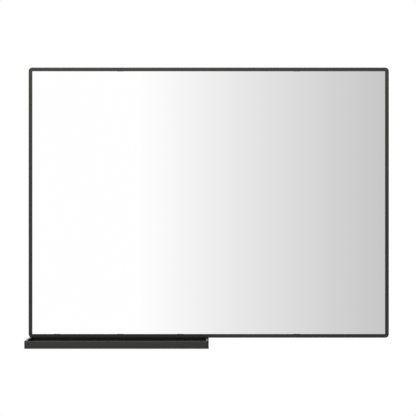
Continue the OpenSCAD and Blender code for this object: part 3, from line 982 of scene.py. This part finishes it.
class MIRROR_OT_stage(Operator):
    """Sets up the floor, the studio light and the camera"""

    bl_idname = "mirror.stage"
    bl_label = "Stage"

    def execute(self, context):
        stage = context.scene.mirror_stage
        context.scene.view_settings.view_transform = "Standard"
        self.add_floor(stage)
        self.add_world(context.scene, stage)
        key = self.add_panel("key", KEY_PLACE, stage.key, stage.warm)
        self.keep_out_of_mirror(key)
        fill = self.add_panel("fill", FILL_PLACE, stage.fill, (1.0, 1.0, 1.0))
        fill.visible_glossy = False
        self.add_camera(context.scene, stage)
        return {"FINISHED"}

    def add_floor(self, stage):
        """A disc: rings of radius r at height z, turned about Z."""
        angle = np.linspace(0, 2 * np.pi, 64, endpoint=False)
        radius = np.array([0.0, 1.0, 2.0, FLOOR_RIM])[:, None]
        x, y = radius * np.cos(angle), radius * np.sin(angle)
        grid = np.stack([x, y, np.full_like(x, Z_BOTTOM - stage.floor_drop)], -1)
        mesh = bpy.data.meshes.new("floor")
        at = np.arange(grid[..., 0].size).reshape(grid.shape[:2])
        beyond = np.roll(at, -1, 1)
        quads = np.stack([at[:-1], at[1:], beyond[1:], beyond[:-1]], -1).reshape(-1, 4)
        mesh.from_pydata(grid.reshape(-1, 3), [], quads.tolist())
        work = bmesh.new()
        work.from_mesh(mesh)
        bmesh.ops.remove_doubles(work, verts=work.verts, dist=1e-6)
        work.to_mesh(mesh)
        work.free()
        mesh.materials.append(pale_floor())
        floor = bpy.data.objects.new("floor", mesh)
        bpy.context.scene.collection.objects.link(floor)

    def add_world(self, scene, stage):
        """The room: white to the camera and behind the object, soft light all round, and in front a bright
        wall that falls off to the right, which is what the mirror shows.

        With x, y and z the direction, the wall's value on the screen's own scale is its peak between two
        limits and falls in a line beyond them, and ((value + 0.055) / 1.055) ^ 2.4 turns it into light. It
        is dimmer above, behind the soft lamp, and dimmer and a little cooler below.
        """
        world = scene.world or bpy.data.worlds.new("room")
        scene.world = world
        nodes = Nodes(world)
        way = nodes.node("SeparateXYZ", Vector=nodes.out(nodes.node("TexCoord"), "Object"))
        x, y, z = (nodes.out(way, axis) for axis in "XYZ")
        path = nodes.node("LightPath")
        camera, glossy = nodes.out(path, "Is Camera Ray"), nodes.out(path, "Is Glossy Ray")
        peak, bright_from, bright_to = 1.004, -0.17, -0.0488
        right = ((x - bright_to) * 1.27).highest(0.0).lowest(stage.fall_right)
        left = ((x - bright_from) * -1.8).highest(0.0).lowest(stage.fall_left)
        above, below = ((z - 0.1) * 3.0).held(), ((z + 0.1) * -3.0).held()
        wall = ((peak - right - left + 0.055) / 1.055) ** 2.4
        wall = wall * (1.0 - above * stage.fall_above) * (1.0 - below * stage.fall_below)
        behind = ((y - 0.65) / 0.25).held()
        shown = wall * (1.0 - behind) + behind
        soft = (1.0 + z * stage.tilt) * stage.ambient
        level = shown * glossy + soft * (1.0 - glossy)
        level = camera + level * (1.0 - camera)
        tint = nodes.mix(below * (1.0 - camera), (1.0, 1.0, 1.0), stage.cool)
        room = nodes.node("Background", Color=tint, Strength=level)
        nodes.node("OutputWorld", Surface=nodes.out(room, "Background"))

    def add_panel(self, name, place, power, tint):
        """A wide soft lamp aimed at the mirror's middle."""
        light = bpy.data.lights.new(name, "AREA")
        light.shape, light.size, light.size_y = "RECTANGLE", *LAMP_SIZE
        light.energy, light.color = power, tint
        lamp = bpy.data.objects.new(name, light)
        aim = Vector((0.0, 0.0, Z_MIDDLE)) - Vector(place)
        lamp.location = place
        lamp.rotation_euler = aim.to_track_quat("-Z", "Y").to_euler()
        bpy.context.scene.collection.objects.link(lamp)
        return lamp

    def keep_out_of_mirror(self, lamp):
        """Leaves the lamp out of what the glass shows, by linking it to everything but the glass."""
        linked = bpy.data.collections.new("lit_by_" + lamp.name)
        linked.objects.link(bpy.data.objects["glass"])
        linked.collection_objects[0].light_linking.link_state = "EXCLUDE"
        lamp.light_linking.receiver_collection = linked

    def add_camera(self, scene, stage):
        """A level camera square to the mirror."""
        data = bpy.data.cameras.new("camera")
        data.sensor_width, data.lens = 36.0, stage.lens
        camera = bpy.data.objects.new("camera", data)
        camera.location = (stage.camera_x, Y_FRONT - stage.distance, stage.camera_z)
        camera.rotation_euler = (np.pi / 2, 0, 0)
        scene.collection.objects.link(camera)
        scene.camera = camera


STEPS = (
    MIRROR_OT_frame_bars,
    MIRROR_OT_glass,
    MIRROR_OT_backing,
    MIRROR_OT_glazing,
    MIRROR_OT_corner_keys,
    MIRROR_OT_hangers,
    MIRROR_OT_bumpers,
    MIRROR_OT_tray,
    MIRROR_OT_shelf_ends,
    MIRROR_OT_shelf_fixings,
    MIRROR_OT_stage,
)


class MIRROR_PT_pieces(Panel):
    """Lists the pieces in the sidebar"""

    bl_idname = "MIRROR_PT_pieces"
    bl_label = "Mirror with shelf"
    bl_space_type = "VIEW_3D"
    bl_region_type = "UI"
    bl_category = "Mirror"

    def draw(self, context):
        for step in STEPS:
            self.layout.operator(step.bl_idname, text=step.bl_label)
        for group in (context.scene.mirror_sizes, context.scene.mirror_colours, context.scene.mirror_stage):
            box = self.layout.box()
            for name in group.__annotations__:
                box.prop(group, name)


CLASSES = (MirrorSizes, MirrorColours, MirrorStage, *STEPS, MIRROR_PT_pieces)


def register():
    for entry in CLASSES:
        bpy.utils.register_class(entry)
    bpy.types.Scene.mirror_sizes = PointerProperty(type=MirrorSizes)
    bpy.types.Scene.mirror_colours = PointerProperty(type=MirrorColours)
    bpy.types.Scene.mirror_stage = PointerProperty(type=MirrorStage)


def unregister():
    del bpy.types.Scene.mirror_stage
    del bpy.types.Scene.mirror_colours
    del bpy.types.Scene.mirror_sizes
    for entry in reversed(CLASSES):
        bpy.utils.unregister_class(entry)


def main():
    """Builds every piece in order."""
    register()
    for step in STEPS:
        group, name = step.bl_idname.split(".")
        getattr(getattr(bpy.ops, group), name)()
    bpy.context.view_layer.update()


if __name__ == "__main__":
    main()
